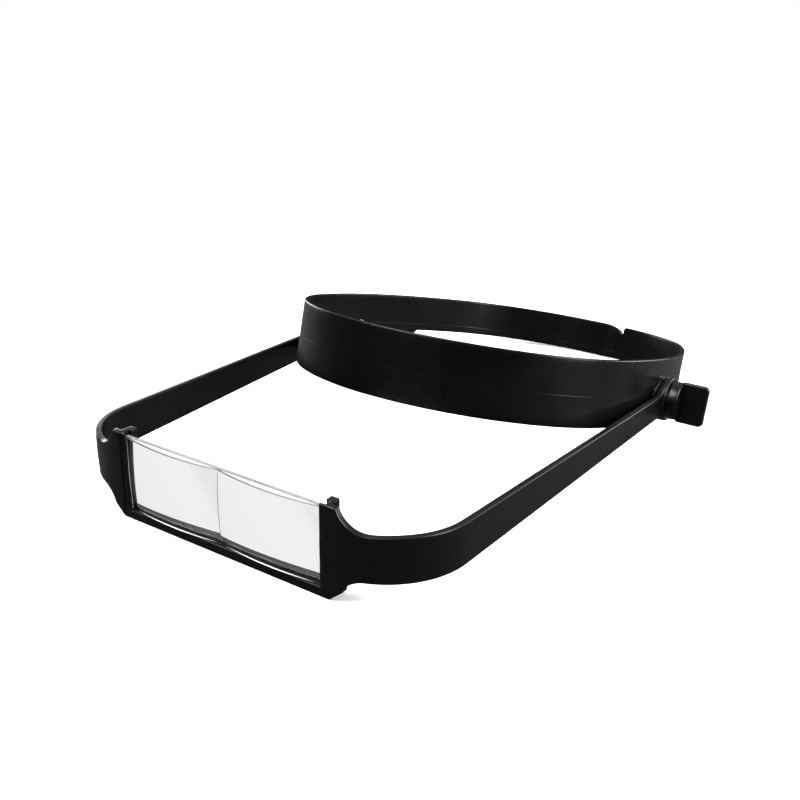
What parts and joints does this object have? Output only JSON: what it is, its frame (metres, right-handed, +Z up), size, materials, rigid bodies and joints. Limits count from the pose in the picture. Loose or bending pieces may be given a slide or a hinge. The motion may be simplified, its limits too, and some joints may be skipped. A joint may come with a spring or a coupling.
{
  "type": "head visor magnifier",
  "caption": "Head-worn visor magnifier: a clear plate with side-by-side lenses in a U-shaped frame that tilts on thumb-knob pivots at the sides of a snap-adjusted headband.",
  "frame": {"origin": "bottom centre of the whole object's bounding box as it rests on a table", "axes": "+Y from the lens plate towards the back of the headband, +X to the right as seen from in front of the lens plate, +Z up; the front bar's lower edge and the back strap's lower edge rest on Z = 0"},
  "size_m": [0.202, 0.3141, 0.0601],
  "materials": {
    "visor_plastic": "fine satin moulding, black",
    "band_plastic": "satin moulding, black, smoother than the frame",
    "clear_acrylic": "polished clear acrylic",
    "knob_plastic": "satin moulding, black",
    "plated_steel": "zinc plated",
    "friction_pad": "matt black"
  },
  "bodies": {
    "headband": {"headband": "band_plastic", "nut_left": "plated_steel", "nut_right": "plated_steel", "friction_washer_left": "friction_pad", "friction_washer_right": "friction_pad"},
    "visor": {"visor_frame": "visor_plastic"},
    "lens": {"lens_plate": "clear_acrylic"},
    "knob_left": {"knob_left": "knob_plastic", "stud_left": "plated_steel", "flat_washer_left": "plated_steel"},
    "knob_right": {"knob_right": "knob_plastic", "stud_right": "plated_steel", "flat_washer_right": "plated_steel"}
  },
  "joints": [
    {"name": "visor_tilt", "type": "hinge", "parent": "headband", "child": "visor", "pos_m": [0, 0.03412, 0.02448], "axis": [1, 0, 0], "range_deg": [-90, 25]},
    {"name": "lens_slide", "type": "slide", "parent": "visor", "child": "lens", "axis": [0, -0.066, 0.9978], "range_m": [0, 0.036]},
    {"name": "knob_right_turn", "type": "hinge", "parent": "headband", "child": "knob_right", "pos_m": [0.0903, 0.03412, 0.02448], "axis": [1, 0, 0], "range_deg": [0, 720]},
    {"name": "knob_left_turn", "type": "hinge", "parent": "headband", "child": "knob_left", "pos_m": [-0.0903, 0.03412, 0.02448], "axis": [-1, 0, 0], "range_deg": [0, 720]}
  ]
}
